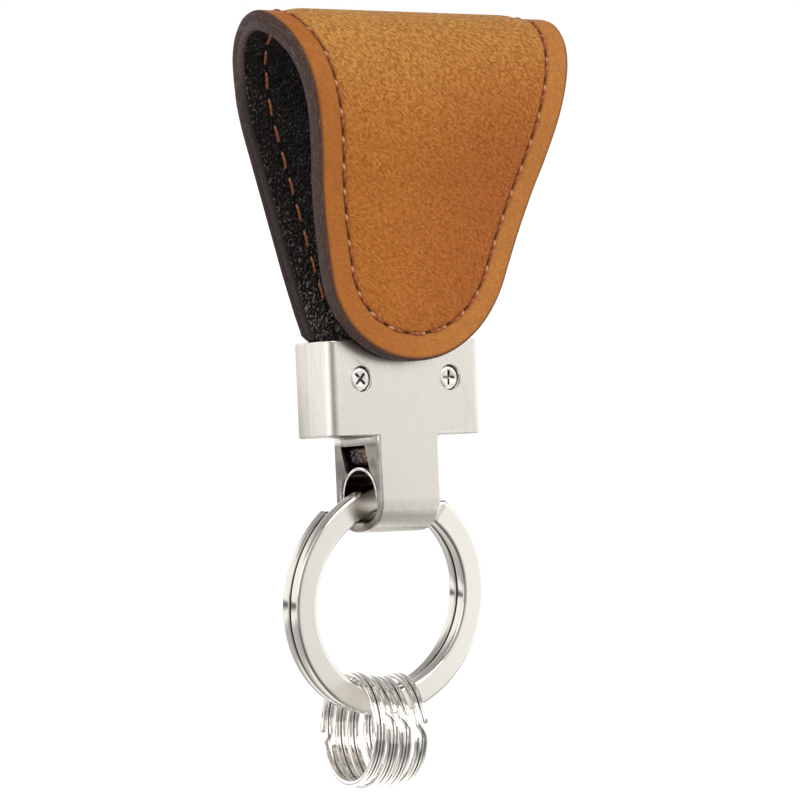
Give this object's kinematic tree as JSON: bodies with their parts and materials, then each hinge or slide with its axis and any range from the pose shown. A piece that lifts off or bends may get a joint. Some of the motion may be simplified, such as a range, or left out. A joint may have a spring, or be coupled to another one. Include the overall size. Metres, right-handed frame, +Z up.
{
  "type": "belt loop key holder",
  "caption": "Folded tan leather belt loop in a satin metal end fitting, with a large flat split ring through the fitting that carries small thin split rings for keys.",
  "frame": {"origin": "where a belt bears: the middle of the inside top of the leather loop", "axes": "+Z up out of the top of the loop, with the rings hanging plumb towards -Z; the flap and the screws face -Y, the wearer is on +Y; X runs across the strip along the belt; the loop and the fitting hang tipped by 8 degrees about X, their foot towards -Y"},
  "size_m": [0.0442, 0.0161, 0.0994],
  "materials": {
    "tan_leather": "fine pebble grain, semi-matt, rust stitching",
    "black_lining": "grained, semi-matt",
    "satin_nickel": "satin nickel plate on cast metal, brushed upright",
    "spring_strip": "bright rolled strip",
    "polished_nickel": "bright nickel plate on steel",
    "bright_chrome": "bright plate on spring steel",
    "magnet_plating": "nickel-plated magnet, not seen"
  },
  "bodies": {
    "loop_and_fitting": {"outer_leather_back": "tan_leather", "lining_back": "black_lining", "back_magnet": "magnet_plating", "end_fitting": "satin_nickel", "ring_saddle": "spring_strip", "screw_left": "polished_nickel", "screw_right": "polished_nickel"},
    "flap": {"outer_leather_flap": "tan_leather", "lining_flap": "black_lining", "flap_magnet": "magnet_plating"},
    "main_ring": {"main_split_ring": "polished_nickel"},
    "small_ring_1": {"small_split_ring_1": "bright_chrome"},
    "small_ring_2": {"small_split_ring_2": "bright_chrome"},
    "small_ring_3": {"small_split_ring_3": "bright_chrome"},
    "small_ring_4": {"small_split_ring_4": "bright_chrome"}
  },
  "joints": [
    {"name": "flap_open", "type": "hinge", "parent": "loop_and_fitting", "child": "flap", "pos_m": [0, 0.00036, 0.00258], "axis": [-1, 0, 0], "range_deg": [0, 80]},
    {"name": "ring_swing", "type": "hinge", "parent": "loop_and_fitting", "child": "main_ring", "pos_m": [0, -0.00101, -0.05887], "axis": [1, 0, 0], "range_deg": [-128, 112]},
    {"name": "small_ring_1_swing", "type": "hinge", "parent": "main_ring", "child": "small_ring_1", "pos_m": [-0.0041, -0.00101, -0.08483], "axis": [0.9914, -0.1305, 0], "range_deg": [-90, 90]},
    {"name": "small_ring_2_swing", "type": "hinge", "parent": "main_ring", "child": "small_ring_2", "pos_m": [-0.00205, -0.00101, -0.08532], "axis": [0.9914, -0.1305, 0], "range_deg": [-90, 90]},
    {"name": "small_ring_3_swing", "type": "hinge", "parent": "main_ring", "child": "small_ring_3", "pos_m": [0, -0.00101, -0.08547], "axis": [0.9914, -0.1305, 0], "range_deg": [-90, 90]},
    {"name": "small_ring_4_swing", "type": "hinge", "parent": "main_ring", "child": "small_ring_4", "pos_m": [0.00256, -0.00101, -0.08522], "axis": [0.9914, -0.1305, 0], "range_deg": [-90, 90]}
  ]
}
